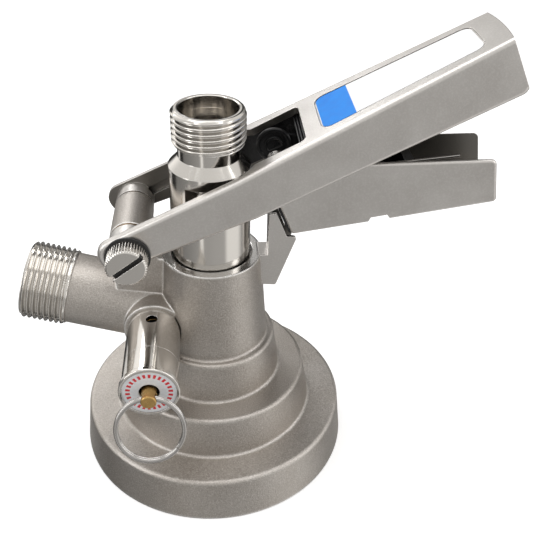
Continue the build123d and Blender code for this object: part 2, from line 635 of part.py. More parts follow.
def trigger_spring():
    """Torsion spring: a coil on the core's boss and a long leg over the core."""
    pitch = 2 * SPRING_WIRE_R + 0.1
    wall = CORE_GAP + TRIGGER_SHEET + CORE_T - TRIGGER_HALF
    near = wall + 0.1
    far = near + SPRING_TURNS * pitch
    coil = rod_y(SPRING_COIL_R + SPRING_WIRE_R, near, far, PIVOT_X, PIVOT_Z)
    coil -= rod_y(SPRING_COIL_R - SPRING_WIRE_R, near - 1, far + 1, PIVOT_X, PIVOT_Z)
    for turn in range(1, SPRING_TURNS):
        y = near + turn * pitch
        ring = rod_y(SPRING_COIL_R + 1, y - 0.1, y + 0.1, PIVOT_X, PIVOT_Z)
        coil -= ring - rod_y(SPRING_COIL_R, y - 0.2, y + 0.2, PIVOT_X, PIVOT_Z)
    leg_y = far - SPRING_WIRE_R - 0.1
    start = Vector(PIVOT_X, leg_y, PIVOT_Z - SPRING_COIL_R)
    bend = Vector(SPRING_BEND[0], leg_y, SPRING_BEND[1])
    end = Vector(SPRING_END[0], leg_y, SPRING_END[1])
    leg = Solid.make_cylinder(SPRING_WIRE_R, (bend - start).length, Plane(start, z_dir=bend - start))
    tip = Solid.make_cylinder(SPRING_WIRE_R, (end - bend).length, Plane(bend, z_dir=end - bend))
    return coil + leg + tip + Pos(*bend) * Sphere(SPRING_WIRE_R)


# ---- probe ----

def probe():
    """Probe sleeve: outlet thread, collar, milled flats and two O-ring grooves."""
    chamfer_h = PROBE_R - NECK_OUTLET_R
    profile = Polyline(
        (0, PROBE_FOOT_Z), (PROBE_R - 0.6, PROBE_FOOT_Z), (PROBE_R, PROBE_FOOT_Z + 0.6),
        (PROBE_R, COLLAR_Z), (NECK_OUTLET_R, COLLAR_Z + chamfer_h), (NECK_OUTLET_R, THREAD_FOOT_Z),
        (OUTLET_R, THREAD_FOOT_Z + 0.9), (OUTLET_R, OUTLET_TOP_Z - 0.9),
        (OUTLET_R - 0.9, OUTLET_TOP_Z), (0, OUTLET_TOP_Z), close=True)
    sleeve = revolve(make_face(Plane.XZ * profile), Axis.Z)
    seat = OUTLET_BORE_R - STEM_BORE_R
    bore = Polyline(
        (0, PROBE_FOOT_Z - 1), (STEM_SPIGOT_R + PIN_FIT, PROBE_FOOT_Z - 1),
        (STEM_SPIGOT_R + PIN_FIT, PROBE_FOOT_Z + STEM_SPIGOT_L),
        (STEM_BORE_R, PROBE_FOOT_Z + STEM_SPIGOT_L), (STEM_BORE_R, BALL_SEAT_Z - seat),
        (OUTLET_BORE_R, BALL_SEAT_Z), (OUTLET_BORE_R, OUTLET_TOP_Z + 1), (0, OUTLET_TOP_Z + 1),
        close=True)
    sleeve -= revolve(make_face(Plane.XZ * bore), Axis.Z)
    for z in ORING_Z:
        band = rod_z(PROBE_R + 1, z - ORING_GROOVE_H / 2, z + ORING_GROOVE_H / 2)
        sleeve -= band - rod_z(ORING_GROOVE_R, z - 5, z + 5)
    for side in (-1, 1):
        y0, y1 = sorted((side * FLAT_Y, side * BIG / 4))
        sleeve -= block(-BIG / 4, BIG / 4, y0, y1, 2 * TRUNNION_Z - FLAT_TOP_Z, FLAT_TOP_Z)
        sleeve -= rod_y(TRUNNION_R + 0.02, *sorted((side * 8.0, side * 20.0)), 0, TRUNNION_Z)
    return sleeve


def trunnions():
    """Two flanged pins on the probe's flats, one in each groove of the handle."""
    tip = half_width(TRUNNION_U) - HANDLE_WALL + TRUNNION_ENTRY
    pins = []
    for side in (-1, 1):
        pin = rod_y(TRUNNION_R, 8.1, tip, 0, TRUNNION_Z)
        pin += rod_y(TRUNNION_FLANGE_R, FLAT_Y, FLAT_Y + TRUNNION_FLANGE_T, 0, TRUNNION_Z)
        pins.append(pin if side > 0 else mirror(pin, Plane.XZ))
    return Compound(children=pins)


def probe_stem():
    """Lower tube of the probe, with a spigot in its foot and a groove for the probe seal."""
    top = PROBE_FOOT_Z + STEM_SPIGOT_L - 0.1
    stem = rod_z(STEM_R, STEM_TIP_Z, PROBE_FOOT_Z) + rod_z(STEM_SPIGOT_R, PROBE_FOOT_Z, top)
    stem = chamfer(stem.edges().group_by(Axis.Z)[0], 0.8)
    low = STEM_TIP_Z + 2.0
    band = rod_z(STEM_R + 1, low, low + PROBE_SEAL_H) - rod_z(PROBE_SEAL_GROOVE_R, low - 1, 40)
    return stem - band - rod_z(STEM_BORE_R, 0, BIG)


def probe_seal():
    """Rubber ring at the probe's lower end."""
    low = STEM_TIP_Z + 2.0
    ring = rod_z(PROBE_SEAL_R, low + 0.05, low + PROBE_SEAL_H - 0.05)
    ring = fillet(ring.edges(), 0.8)
    return ring - rod_z(PROBE_SEAL_GROOVE_R + 0.05, low - 1, low + PROBE_SEAL_H + 1)


def probe_oring(z):
    """O-ring in a groove of the probe."""
    minor = (PROBE_R - ORING_GROOVE_R) / 2
    return Pos(0, 0, z) * Torus(ORING_GROOVE_R + minor + 0.02, minor)


def check_ball():
    """Ball that closes the outlet when the beer line is drawn back."""
    slope_gap = 0.15 * math.sqrt(2)
    centre = BALL_SEAT_Z - OUTLET_BORE_R + BALL_R * math.sqrt(2) + slope_gap
    return Pos(0, 0, centre) * Sphere(BALL_R)


def ball_retainer():
    """Ring that keeps the ball in the outlet."""
    ring = rod_z(OUTLET_BORE_R - 0.05, RETAINER_Z, RETAINER_Z + RETAINER_H)
    return ring - rod_z(RETAINER_INNER_R, RETAINER_Z - 1, RETAINER_Z + RETAINER_H + 1)


# ---- relief valve ----

def on_relief(radius, near, far):
    """Cylinder on the relief valve's axis between two distances towards -Y."""
    return rod_y(radius, -far, -near, RELIEF_X, RELIEF_Z)


def relief_body():
    """Inner barrel: a spigot in the boss, the valve seat and the vent."""
    start = RELIEF_BOSS_END
    barrel = on_relief(RELIEF_R, start, RELIEF_SEAM - 0.01)
    barrel += on_relief(RELIEF_SPIGOT_R, start - RELIEF_SPIGOT_L, start)
    barrel -= on_relief(RELIEF_BORE_R, start + 1.5, RELIEF_SEAM + 1)
    barrel -= on_relief(RELIEF_SEAT_R, 0, RELIEF_SEAM)
    return barrel - rod_z(VENT_R, RELIEF_Z, RELIEF_Z + 20, RELIEF_X, -VENT_Y)


def relief_cap():
    """Outer barrel with a rim round the face disc."""
    rim = on_relief(RELIEF_RIM_R, RELIEF_END - RELIEF_RIM_T, RELIEF_END)
    rim = fillet(rim.edges().sort_by(Axis.Y)[0], 0.5)
    cap = on_relief(RELIEF_R, RELIEF_SEAM, RELIEF_END - RELIEF_RIM_T + 0.01) + rim
    cap -= on_relief(RELIEF_BORE_R, RELIEF_SEAM - 1, RELIEF_END - 3)
    cap -= on_relief(FACE_HOLE_R, RELIEF_SEAM, RELIEF_END + 1)
    return cap - on_relief(FACE_DISC_R + PIN_FIT, RELIEF_END - FACE_DISC_T - 0.3, RELIEF_END + 1)


def relief_face():
    """Plain face disc inside the rim."""
    back = RELIEF_END - FACE_DISC_T - 0.3
    return on_relief(FACE_DISC_R, back, back + FACE_DISC_T) - on_relief(FACE_HOLE_R, 0, BIG)


def relief_stem():
    """Pull stem: a plate on the seat, a rod and the drilled end outside."""
    seat = RELIEF_BOSS_END + 1.5
    stem = on_relief(PULL_PLATE_R, seat + PULL_SEAL_T + 0.1, seat + PULL_SEAL_T + 1.7)
    stem += on_relief(PULL_ROD_R, seat + PULL_SEAL_T + 0.1, RELIEF_END - 4)
    stem += on_relief(PULL_STEM_R, RELIEF_END - 5, PULL_STEM_END)
    stem = chamfer(stem.edges().sort_by(Axis.Y)[0], 0.3)
    return stem - rod_x(RING_HOLE_R, RELIEF_X - 5, RELIEF_X + 5, -RING_HOLE_Y, RELIEF_Z)


def relief_seal():
    """Rubber disc between the stem's plate and the seat."""
    seat = RELIEF_BOSS_END + 1.5
    return on_relief(PULL_PLATE_R - 0.4, seat + 0.1, seat + 0.1 + PULL_SEAL_T)


def relief_spring():
    """Compression spring between the stem's plate and the cap."""
    first = RELIEF_BOSS_END + 1.5 + PULL_SEAL_T + 1.75
    last = RELIEF_END - 3.05
    turns = 8
    pitch = (last - first) / turns
    coil = on_relief(4.6, first, last) - on_relief(3.4, first - 1, last + 1)
    for turn in range(1, turns):
        y = first + turn * pitch
        coil -= on_relief(6, y - 0.5, y + 0.5) - on_relief(3.7, y - 1, y + 1)
    return coil


def relief_ring():
    """Pull ring through the stem's end."""
    ring = Pos(0, 0, -RING_MEAN_R) * Rot(90, 0, 0) * Torus(RING_MEAN_R, RING_WIRE_R)
    return Pos(RELIEF_X, -RING_HOLE_Y, RELIEF_Z) * Rot(-RING_LEAN, 0, 0) * ring


def between_heights(shape, low, high):
    """The part of a shape between two heights."""
    return shape & block(-BIG, BIG, -BIG, BIG, low, high)


def main():
    casting = body_casting()
    land = open_slot(FLANGE_SLOT_R, SLOT_ROOF_Z, SLOT_ROOF_Z + WALL_RISE)
    wall = between_heights(casting, LIP_T, SLOT_ROOF_Z + WALL_RISE) - land
    parts = {
        "body_casting": between_heights(casting, SLOT_ROOF_Z, BIG) - wall,
        "base_wall": wall,
        "base_lips": between_heights(casting, -1, LIP_T),
        "body_seal": body_seal(),
        "gas_check_valve": gas_check_valve(), "valve_retainer": valve_retainer(),
        "catch_bracket": catch_bracket(), "catch_screws": catch_screws(),
        "knuckle_bush_near": knuckle_bush(-1), "knuckle_bush_far": knuckle_bush(1),
        "pivot_screw": pivot_screw(), "head_washer": head_washer(),
        "handle": handle(), "handle_label": handle_label(),
        "trigger": trigger(), "trigger_core": trigger_core(), "trigger_pin": trigger_pin(),
        "trigger_spacer_near": trigger_spacer(-1), "trigger_spacer_far": trigger_spacer(1),
        "trigger_spring": trigger_spring(),
        "probe": probe(), "trunnions": trunnions(), "probe_stem": probe_stem(),
        "probe_seal": probe_seal(), "probe_oring_lower": probe_oring(ORING_Z[0]),
        "probe_oring_upper": probe_oring(ORING_Z[1]), "check_ball": check_ball(),
        "ball_retainer": ball_retainer(),
        "relief_body": relief_body(), "relief_cap": relief_cap(), "relief_face": relief_face(),
        "relief_stem": relief_stem(), "relief_seal": relief_seal(),
        "relief_spring": relief_spring(), "relief_ring": relief_ring(),
    }
    os.makedirs("parts", exist_ok=True)
    for name, shape in parts.items():
        export_step(shape, f"parts/{name}.step")


main()
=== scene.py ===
import json
import math

import bmesh
import bpy
from mathutils import Matrix, Vector

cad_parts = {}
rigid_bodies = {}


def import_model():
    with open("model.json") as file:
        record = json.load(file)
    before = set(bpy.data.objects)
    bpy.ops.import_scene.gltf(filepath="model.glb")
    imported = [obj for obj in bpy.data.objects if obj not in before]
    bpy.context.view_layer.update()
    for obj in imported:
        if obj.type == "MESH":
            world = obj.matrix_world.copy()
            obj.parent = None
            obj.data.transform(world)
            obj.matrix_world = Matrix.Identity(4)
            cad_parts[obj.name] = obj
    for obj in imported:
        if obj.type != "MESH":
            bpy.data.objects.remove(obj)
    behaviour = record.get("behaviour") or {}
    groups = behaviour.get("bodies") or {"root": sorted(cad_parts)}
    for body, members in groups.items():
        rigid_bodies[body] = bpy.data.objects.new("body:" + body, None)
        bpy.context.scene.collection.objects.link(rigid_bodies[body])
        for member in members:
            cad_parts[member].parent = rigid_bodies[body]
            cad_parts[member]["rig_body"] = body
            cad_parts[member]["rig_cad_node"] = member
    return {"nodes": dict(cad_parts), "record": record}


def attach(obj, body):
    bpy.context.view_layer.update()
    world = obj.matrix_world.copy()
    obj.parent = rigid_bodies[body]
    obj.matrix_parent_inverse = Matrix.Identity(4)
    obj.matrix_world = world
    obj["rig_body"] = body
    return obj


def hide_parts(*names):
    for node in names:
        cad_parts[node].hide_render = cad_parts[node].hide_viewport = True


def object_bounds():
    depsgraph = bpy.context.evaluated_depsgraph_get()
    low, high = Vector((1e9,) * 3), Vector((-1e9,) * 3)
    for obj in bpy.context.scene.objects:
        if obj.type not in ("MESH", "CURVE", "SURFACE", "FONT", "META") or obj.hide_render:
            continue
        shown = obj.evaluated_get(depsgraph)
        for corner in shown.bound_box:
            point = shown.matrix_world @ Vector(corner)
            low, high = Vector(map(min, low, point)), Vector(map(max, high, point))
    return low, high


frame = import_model()
START_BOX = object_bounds()
NODES = frame["nodes"]
MM = 0.001

# ---------------------------------------------------------------- places shared with the CAD, in mm

HINGE = (-25.18, 87.8)                   # handle's hinge, x and z
TILT = math.radians(27.3)                # rise of the handle at rest
PIVOT = (20.36, 111.64)                  # trigger's pivot, x and z
BEND_U, BEND_HALF_W = 40.0, 18.2         # bend in the handle's sides, and its half width there
TIP_U, TIP_HALF_W = 126.4, 12.7          # the same at the handle's tip
GAS_Z = 49.5                             # gas pipe: height of its axis over the base's centre
GAS_YAW, GAS_RISE = math.radians(5.0), math.radians(12.7)
GAS_END, GAS_THREAD_L, GAS_R, GAS_BORE = 64.4, 15.1, 13.22, 9.4
OUT_R, OUT_TOP, OUT_L, OUT_BORE = 11.455, 127.4, 11.5, 9.3
PITCH = 25.4 / 14                        # both pipe threads
RELIEF_X, RELIEF_Z = -19.7, 53.84        # axis of the relief valve
SEAMS = ((3.6, 5.6), (10.5, 12.9))       # heights where the nodes of the one casting meet
RIM_Z, RIM_R = (74.1, 77.4), 16.42       # machined rim: column's top face and its mouth's wall


# ---------------------------------------------------------------- materials

MIDDLE = (0.3, 0.7)                      # part of a noise's range that most of it lies in
EDGE_COS = 0.75                          # between rounded and true normal, where an edge is whole
EDGE_WEAR_AND_GLINT_R, ROUND_R = 0.0014, 0.0009         # casting: reach of the bright edges, partly wear and partly painted highlight, and rounding of its edges, in m


class Shader:
    """Principled material with short calls for its nodes."""

    def __init__(self, name, color, metallic, rough):
        self.mat = bpy.data.materials.new(name)
        self.mat.use_nodes = True
        self.tree = self.mat.node_tree
        self.bsdf = self.tree.nodes["Principled BSDF"]
        self.set("Base Color", (*color, 1.0))
        self.set("Metallic", metallic)
        self.set("Roughness", rough)
        self.coords = self.add("ShaderNodeTexCoord").outputs["Object"]

    def set(self, socket, value):
        self.bsdf.inputs[socket].default_value = value

    def add(self, kind, **values):
        node = self.tree.nodes.new(kind)
        for key, value in values.items():
            setattr(node, key, value)
        return node

    def link(self, a, b):
        self.tree.links.new(a, b)

    def out(self, socket, value):
        self.link(value, self.bsdf.inputs[socket])

    def mapped(self, scale=(1, 1, 1), rotation=(0, 0, 0), location=(0, 0, 0)):
        node = self.add("ShaderNodeMapping")
        node.inputs["Location"].default_value = location
        node.inputs["Rotation"].default_value = rotation
        node.inputs["Scale"].default_value = scale
        self.link(self.coords, node.inputs["Vector"])
        return node.outputs["Vector"]

    def noise(self, scale, detail=2.0, rough=0.5, vector=None):
        node = self.add("ShaderNodeTexNoise")
        node.inputs["Scale"].default_value = scale
        node.inputs["Detail"].default_value = detail
        node.inputs["Roughness"].default_value = rough
        self.link(vector or self.coords, node.inputs["Vector"])
        return node.outputs["Fac"]

    def cells(self, scale):
        node = self.add("ShaderNodeTexVoronoi", feature="F1")
        node.inputs["Scale"].default_value = scale
        self.link(self.coords, node.inputs["Vector"])
        return node.outputs["Distance"]

    def span(self, fac, low, high, a=0.0, b=1.0):
        """low to high while fac goes from a to b."""
        node = self.add("ShaderNodeMapRange")
        for key, value in zip(("From Min", "From Max", "To Min", "To Max"), (a, b, low, high)):
            node.inputs[key].default_value = value
        self.link(fac, node.inputs["Value"])
        return node.outputs["Result"]

    def math(self, operation, a, b=None):
        node = self.add("ShaderNodeMath", operation=operation)
        for socket, value in zip(node.inputs, (a, b)):
            if isinstance(value, (int, float)):
                socket.default_value = value
            elif value is not None:
                self.link(value, socket)
        return node.outputs[0]

    def mix(self, fac, a, b):
        """Colour a where fac is 0, colour b where it is 1."""
        node = self.add("ShaderNodeMix", data_type="RGBA")
        for socket, value in ((node.inputs["Factor"], fac), (node.inputs[6], a), (node.inputs[7], b)):
            if isinstance(value, tuple):
                socket.default_value = (*value, 1.0)
            else:
                self.link(value, socket)
        return node.outputs[2]

    def clouded(self, fac, a, b):
        """Colour a to colour b over the middle of a noise."""
        return self.mix(self.span(fac, 0.0, 1.0, 0.35, 0.7), a, b)

    def split(self, vector=None):
        node = self.add("ShaderNodeSeparateXYZ")
        self.link(vector or self.coords, node.inputs["Vector"])
        return node.outputs["X"], node.outputs["Y"], node.outputs["Z"]

    def between(self, value, low, high):
        """1 where value lies between two lengths in mm."""
        above = self.math("GREATER_THAN", value, low * MM)
        return self.math("MULTIPLY", above, self.math("LESS_THAN", value, high * MM))

    def length(self, a, b):
        squares = [self.math("MULTIPLY", side, side) for side in (a, b)]
        return self.math("SQRT", self.math("ADD", *squares))

    def rounded(self, radius):
        """Normal of the surface with its edges rounded; radius in metres or a socket."""
        node = self.add("ShaderNodeBevel", samples=6)
        if isinstance(radius, float):
            node.inputs["Radius"].default_value = radius
        else:
            self.link(radius, node.inputs["Radius"])
        return node.outputs["Normal"]

    def edge(self, radius):
        """1 along edges, 0 on the open surface."""
        normal = self.add("ShaderNodeNewGeometry").outputs["Normal"]
        dot = self.add("ShaderNodeVectorMath", operation="DOT_PRODUCT")
        self.link(self.rounded(radius), dot.inputs[0])
        self.link(normal, dot.inputs[1])
        return self.span(dot.outputs["Value"], 1.0, 0.0, EDGE_COS, 1.0)

    def bump(self, height, strength, distance, normal=None):
        node = self.add("ShaderNodeBump")
        node.inputs["Strength"].default_value = strength
        node.inputs["Distance"].default_value = distance
        self.link(height, node.inputs["Height"])
        if normal is not None:
            self.link(normal, node.inputs["Normal"])
        return node.outputs["Normal"]


def cast_steel():
    """Blasted casting with bright edges, partly wear and partly painted highlight, a machined rim, and
    no edge where its nodes meet.
    """
    s = Shader("cast_steel", (0.40, 0.38, 0.355), 1.0, 0.42)
    grain = s.noise(2400, 2.0, 0.55)
    fine = s.noise(4200, 1.0, 0.5)
    pits = s.cells(1700)
    cloud = s.noise(45, 3.0, 0.55)
    x, y, z = s.split()
    seams = s.math("ADD", s.between(z, *SEAMS[0]), s.between(z, *SEAMS[1]))
    whole = s.math("SUBTRACT", 1.0, s.math("MINIMUM", seams, 1.0))
    edge = s.edge(s.math("MULTIPLY", whole, EDGE_WEAR_AND_GLINT_R))
    rim = s.math("MULTIPLY", s.between(z, *RIM_Z), s.math("LESS_THAN", s.length(x, y), RIM_R * MM))

    tone = s.mix(s.span(cloud, 0.0, 1.0, *MIDDLE), (0.41, 0.375, 0.34), (0.48, 0.45, 0.42))
    tone = s.mix(s.span(grain, 0.0, 0.40, 0.5, 0.72), tone, (0.78, 0.76, 0.73))
    tone = s.mix(s.span(grain, 0.38, 0.0, 0.28, 0.5), tone, (0.20, 0.18, 0.16))
    # edges coloured near white: partly wear, partly a painted highlight standing for their glint
    tone = s.mix(edge, tone, (1.0, 0.99, 0.97))
    s.out("Base Color", s.mix(rim, tone, (0.60, 0.59, 0.575)))

    rough = s.math("SUBTRACT", s.span(grain, 0.36, 0.50, *MIDDLE), s.math("MULTIPLY", edge, 0.1))
    s.out("Roughness", s.math("SUBTRACT", rough, s.math("MULTIPLY", rim, 0.22)))

    relief = s.math("MULTIPLY", s.math("ADD", pits, fine), 0.2)
    height = s.math("ADD", s.math("MULTIPLY", grain, 0.75), relief)
    height = s.math("MULTIPLY", height, s.math("SUBTRACT", 1.0, s.math("MULTIPLY", rim, 0.85)))
    s.out("Normal", s.bump(height, 0.6, 0.00022, s.rounded(s.math("MULTIPLY", whole, ROUND_R))))
    return s.mat


def plate_steel():
    """Pressed sheet, with painted shade on the faces that look into a channel."""
    s = Shader("plate_steel", (0.60, 0.58, 0.555), 1.0, 0.36)
    grain = s.noise(1700, 2.0, 0.6)
    cloud = s.noise(60, 4.0, 0.6)
    side = s.split()[1]
    facing = s.split(s.add("ShaderNodeTexCoord").outputs["Normal"])[1]
    channel_shade = s.math("LESS_THAN", s.math("MULTIPLY", facing, s.math("SIGN", side)), -0.6)
    tone = s.mix(s.span(cloud, 0.0, 1.0, *MIDDLE), (0.58, 0.555, 0.53), (0.66, 0.64, 0.615))
    tone = s.mix(s.span(grain, 0.0, 0.3, 0.45, 0.7), tone, (0.80, 0.78, 0.76))
    # painted highlight: edges coloured near white
    tone = s.mix(s.math("MULTIPLY", s.edge(0.0004), 0.8), tone, (0.92, 0.89, 0.86))
    # painted shade: faces that look into the channel are coloured near black
    s.out("Base Color", s.mix(channel_shade, tone, (0.20, 0.19, 0.175)))
    s.out("Roughness", s.span(cloud, 0.32, 0.40, *MIDDLE))
    s.out("Normal", s.bump(grain, 0.2, 0.00012, s.rounded(0.0003)))
    return s.mat


def turned_steel():
    color = (0.66, 0.635, 0.60)
    s = Shader("turned_steel", color, 1.0, 0.13)
    lines = s.noise(1.0, 2.0, 0.5, s.mapped(scale=(60, 60, 9000)))
    smear = s.noise(70, 3.0, 0.6)
    # painted highlight: edges coloured near white
    s.out("Base Color", s.mix(s.math("MULTIPLY", s.edge(0.0003), 0.7), color, (0.93, 0.91, 0.89)))
    s.out("Roughness", s.span(smear, 0.104, 0.169, *MIDDLE))
    s.out("Normal", s.bump(lines, 0.08, 0.00004, s.rounded(0.00025)))
    return s.mat


def spring_steel():
    s = Shader("spring_steel", (0.46, 0.445, 0.43), 1.0, 0.18)
    draw = s.noise(900, 2.0, 0.5)
    s.out("Roughness", s.span(draw, 0.14, 0.26, *MIDDLE))
    s.out("Normal", s.bump(draw, 0.05, 0.00004))
    return s.mat


def copper_alloy(name, color):
    s = Shader(name, color, 1.0, 0.28)
    lines = s.noise(1.0, 2.0, 0.5, s.mapped(scale=(400, 5000, 400)))
    dull = s.noise(500, 3.0, 0.6)
    s.out("Base Color", s.clouded(dull, color, tuple(c * 0.7 for c in color)))
    s.out("Roughness", s.span(dull, 0.2, 0.42, *MIDDLE))
    s.out("Normal", s.bump(lines, 0.2, 0.00006, s.rounded(0.0002)))
    return s.mat


def soft_black(name, color, rough, scale):
    s = Shader(name, color, 0.0, rough)
    grain = s.noise(scale, 3.0, 0.55)
    s.out("Roughness", s.span(grain, rough * 0.8, rough * 1.25, *MIDDLE))
    s.out("Normal", s.bump(grain, 0.15, 0.00008, s.rounded(0.0003)))
    return s.mat


def label_film():
    """White film whose end nearest the hinge is blue."""
    blue_end, blur = 79.2, 0.1           # mm along the handle from the hinge
    s = Shader("label_film", (0.86, 0.87, 0.88), 0.0, 0.22)
    s.set("Coat Weight", 0.05)
    s.set("Specular IOR Level", 0.2)
    s.set("Coat Roughness", 0.08)
    to_hinge = -(HINGE[0] * math.cos(TILT) + HINGE[1] * math.sin(TILT)) * MM
    along = s.split(s.mapped(location=(to_hinge, 0, 0), rotation=(0, TILT, 0)))[0]
    blue = s.span(along, 1.0, 0.0, (blue_end - blur) * MM, (blue_end + blur) * MM)
    haze = s.noise(260, 3.0, 0.5)
    white = s.clouded(haze, (0.92, 0.925, 0.93), (0.95, 0.955, 0.96))
    block = s.clouded(haze, (0.002, 0.22, 0.78), (0.003, 0.26, 0.84))
    s.out("Base Color", s.mix(blue, white, block))
    s.out("Roughness", s.span(haze, 0.30, 0.42, *MIDDLE))
    return s.mat


def face_disc():
    """Pale disc with a ring of red dashes about the relief valve's axis."""
    dashes, dash_from, dash_to = 26.0, 5.8, 7.2
    s = Shader("face_disc", (0.72, 0.73, 0.75), 0.0, 0.35)
    x, _, z = s.split(s.mapped(location=(-RELIEF_X * MM, 0, -RELIEF_Z * MM)))
    angle = s.math("ARCTAN2", z, x)
    dash = s.math("GREATER_THAN", s.math("SINE", s.math("MULTIPLY", angle, dashes)), -0.1)
    band = s.between(s.length(x, z), dash_from, dash_to)
    tint = s.noise(900, 2.0, 0.5)
    pale = s.clouded(tint, (0.68, 0.69, 0.71), (0.76, 0.77, 0.79))
    s.out("Base Color", s.mix(s.math("MULTIPLY", dash, band), pale, (0.62, 0.02, 0.03)))
    s.out("Roughness", s.span(tint, 0.28, 0.42, *MIDDLE))
    return s.mat


LOOKS = {
    "cast_steel": cast_steel(),
    "plate_steel": plate_steel(),
    "turned_steel": turned_steel(),
    "spring_steel": spring_steel(),
    "bronze": copper_alloy("bronze", (0.30, 0.20, 0.10)),
    "brass": copper_alloy("brass", (0.62, 0.40, 0.15)),
    "dark_washer": soft_black("dark_washer", (0.02, 0.02, 0.02), 0.45, 1500),
    "rubber": soft_black("rubber", (0.018, 0.018, 0.018), 0.6, 1800),
    "black_plastic": soft_black("black_plastic", (0.012, 0.012, 0.013), 0.32, 1400),
    "label_film": label_film(),
    "face_disc": face_disc(),
}


def dress(obj, look):
    obj.data.materials.clear()
    obj.data.materials.append(LOOKS[look])


for entry in frame["record"]["subparts"]:
    node = NODES[entry["node"]]
    node.data.materials.clear()
    node.data.materials.append(LOOKS[entry["material_slot"]])


# ---------------------------------------------------------------- mesh helpers, lengths in mm

def new_mesh(name, verts, faces, sharp):
    """Smooth mesh with edges sharper than sharp degrees kept; flat all over when sharp is None."""
    mesh = bpy.data.meshes.new(name)
    mesh.from_pydata([tuple(c * MM for c in v) for v in verts], [], faces)
    mesh.validate()
    obj = bpy.data.objects.new(name, mesh)
    bpy.context.scene.collection.objects.link(obj)
    b = bmesh.new()
    b.from_mesh(mesh)
    bmesh.ops.recalc_face_normals(b, faces=b.faces)
    b.to_mesh(mesh)
    b.free()
    for polygon in mesh.polygons:
        polygon.use_smooth = sharp is not None
    if sharp is not None:
        mesh.set_sharp_from_angle(angle=math.radians(sharp))
    return obj


def skin(rings, around, closed=False):
    """Faces over rings of vertices; the last ring joins the first, or both ends are capped."""
    faces = []
    for i in range(rings if closed else rings - 1):
        k = (i + 1) % rings
        for j in range(around):
            n = (j + 1) % around
            faces.append((i * around + j, i * around + n, k * around + n, k * around + j))
    if not closed:
        faces.append(tuple(range(around)))
        faces.append(tuple((rings - 1) * around + j for j in range(around)))
    return faces


def turn_of(j, steps):
    return 2 * math.pi * j / steps


def ease(k):
    """0 to 1 with a level start and end."""
    return k * k * (3 - 2 * k)


def clamp(k):
    return min(1.0, max(0.0, k))


def box_mesh(name, low, high):
    x0, y0, z0 = low
    x1, y1, z1 = high
    verts = [(x, y, z) for x in (x0, x1) for y in (y0, y1) for z in (z0, z1)]
    faces = [(0, 1, 3, 2), (4, 6, 7, 5), (0, 4, 5, 1), (2, 3, 7, 6), (0, 2, 6, 4), (1, 5, 7, 3)]
    return new_mesh(name, verts, faces, sharp=None)


def prism(name, outline, y0, y1):
    """Closed prism along y from an outline of (x, z) points."""
    n = len(outline)
    verts = [(x, y0, z) for x, z in outline] + [(x, y1, z) for x, z in outline]
    faces = [tuple(range(n)), tuple(range(n, 2 * n))]
    faces += [(i, (i + 1) % n, n + (i + 1) % n, n + i) for i in range(n)]
    return new_mesh(name, verts, faces, sharp=30)


def lathe_y(name, stations, steps, wave=(0.0,)):
    """Closed body about y from (y, radius, depth) stations; wave repeats round it, times the depth."""
    verts = []
    for y, radius, depth in stations:
        for j in range(steps):
            r = radius - depth * wave[j % len(wave)]
            phi = turn_of(j, steps)
            verts.append((r * math.cos(phi), y, r * math.sin(phi)))
    return new_mesh(name, verts, skin(len(stations), steps), sharp=30)


def carve(obj, cutters):
    """Cuts closed meshes out of obj for good."""
    for cutter in cutters:
        mod = obj.modifiers.new("cut", "BOOLEAN")
        mod.operation = "DIFFERENCE"
        mod.solver = "EXACT"
        mod.object = cutter
    graph = bpy.context.evaluated_depsgraph_get()
    solid = bpy.data.meshes.new_from_object(obj.evaluated_get(graph))
    obj.modifiers.clear()
    obj.data = solid
    for cutter in cutters:
        bpy.data.objects.remove(cutter)
    return obj


def moved(x, y, z):
    return Matrix.Translation((x * MM, y * MM, z * MM))


def gas_place():
    """Gas pipe's frame, with z along its axis."""
    turn = Matrix.Rotation(-GAS_YAW, 4, "Z") @ Matrix.Rotation(GAS_RISE - math.pi / 2, 4, "Y")
    return moved(0, 0, GAS_Z) @ turn


def handle_place():
    """Handle's frame at rest, with x along it from the hinge and z out of its top."""
    return moved(HINGE[0], 0, HINGE[1]) @ Matrix.Rotation(-TILT, 4, "Y")


def pivot_place():
    """The same frame moved to the trigger's pivot."""
    return moved(PIVOT[0], 0, PIVOT[1]) @ Matrix.Rotation(-TILT, 4, "Y")


# ---------------------------------------------------------------- pipe threads

THREAD_DEPTH = 1.162
ROOT_FLAT, FLANK = 0.12, 0.76            # shares of half a pitch
EASED = 0.35                             # share of the flank's section that is eased, not straight
FOOT_FALL, FOOT_RISE = 0.45, 0.4         # of crest and root at the sleeve's foot, in thread depths
FOOT_L = 0.6                             # share of the run-out with the raised root
MOUTH_CHAMFER, BORE_CHAMFER = 1.0, 0.15
FACE_RING = 1.6                          # ring on the end face, in from the crest
WALL_IN = 0.5                            # sleeve's inner wall under the root
BORE_FIT = 0.06                          # sleeve's bore inside the CAD's bore
BORE_L = 4.0                             # depth of the sleeve's mouth


